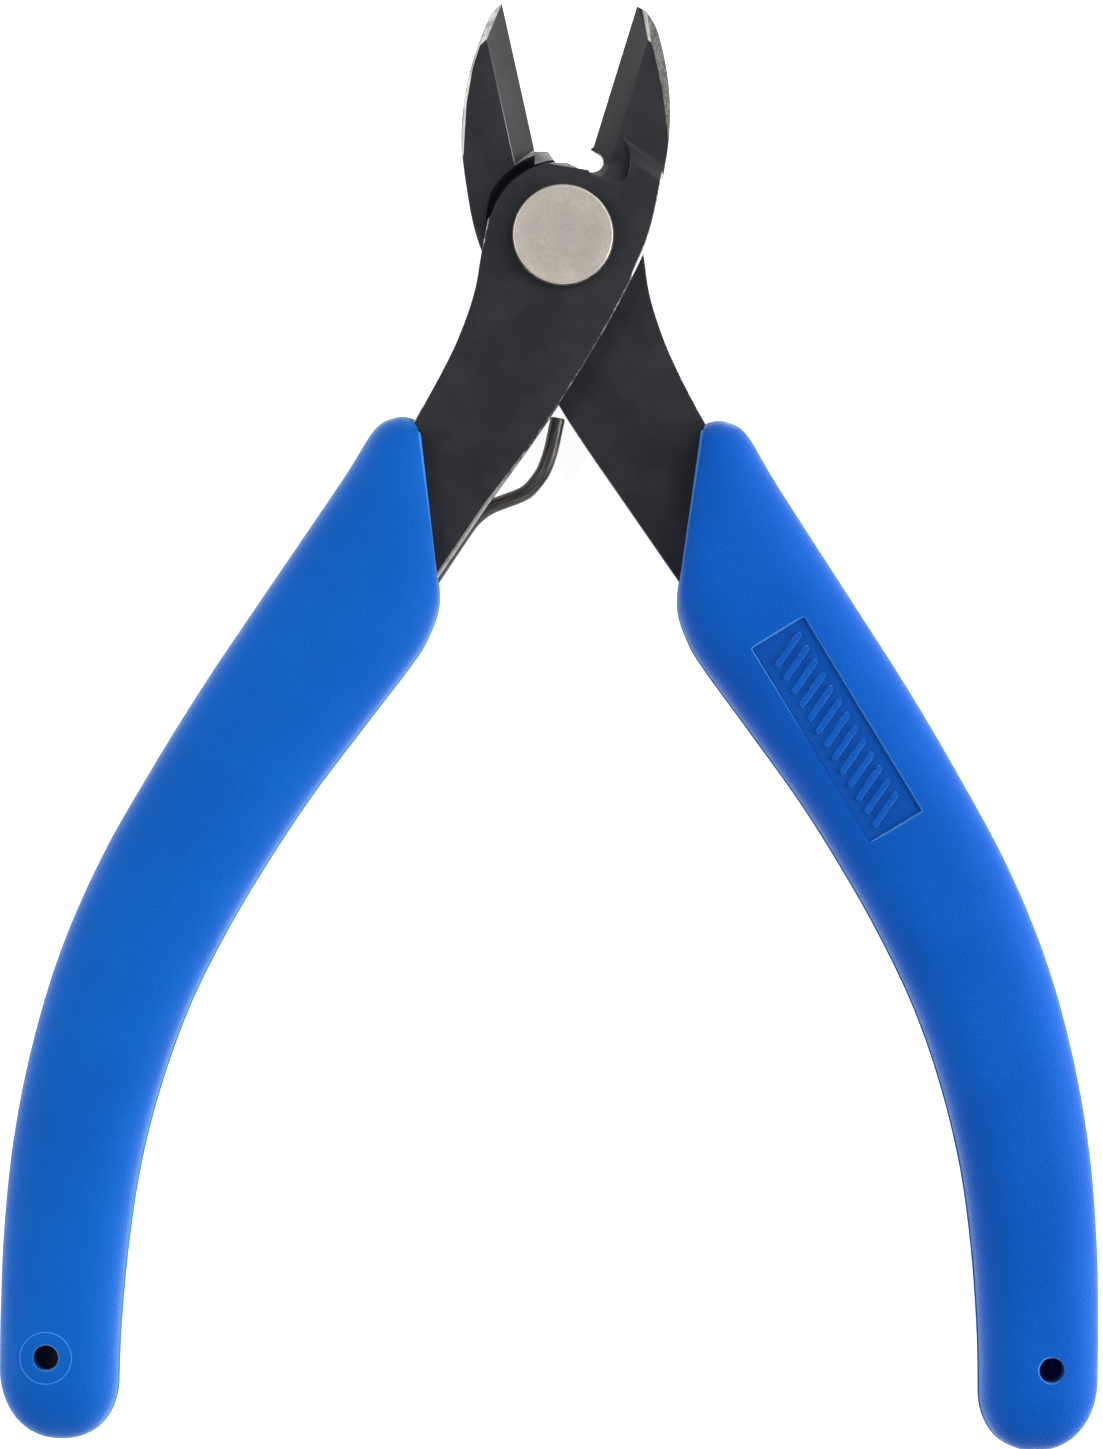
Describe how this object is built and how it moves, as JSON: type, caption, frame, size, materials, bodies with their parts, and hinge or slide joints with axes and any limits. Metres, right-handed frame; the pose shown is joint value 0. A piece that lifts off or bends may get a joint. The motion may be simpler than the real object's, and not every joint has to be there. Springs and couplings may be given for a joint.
{
  "type": "flush cutter",
  "caption": "Spring-opened flush cutter for fine wire: crossed stamped steel arms on a bolted pivot, wire return spring, and curved moulded rubber grips.",
  "frame": {"origin": "on the pivot's axis, in the lap plane where the two arms meet", "axes": "+Y along the tool towards the jaws, +Z out of the front face with the pivot head, +X to the right seen from the front"},
  "size_m": [0.091, 0.1192, 0.009],
  "materials": {
    "blackened_steel": "black oxide, satin, worn bright on the edges",
    "nickel_plate": "turned face, satin nickel",
    "spring_wire": "dark drawn wire",
    "blue_rubber": "matte moulded, fine grain"
  },
  "bodies": {
    "front_half": {"front_arm": "blackened_steel", "left_grip": "blue_rubber", "pivot_bolt": "nickel_plate", "pivot_nut": "blackened_steel", "return_spring": "spring_wire"},
    "rear_half": {"rear_arm": "blackened_steel", "right_grip": "blue_rubber"}
  },
  "joints": [
    {"name": "pivot", "type": "hinge", "parent": "front_half", "child": "rear_half", "pos_m": [0, 0, 0], "axis": [0, 0, -1], "range_deg": [0, 32], "stiffness_Nm_per_rad": 0.75, "deforming": ["return_spring"]}
  ]
}
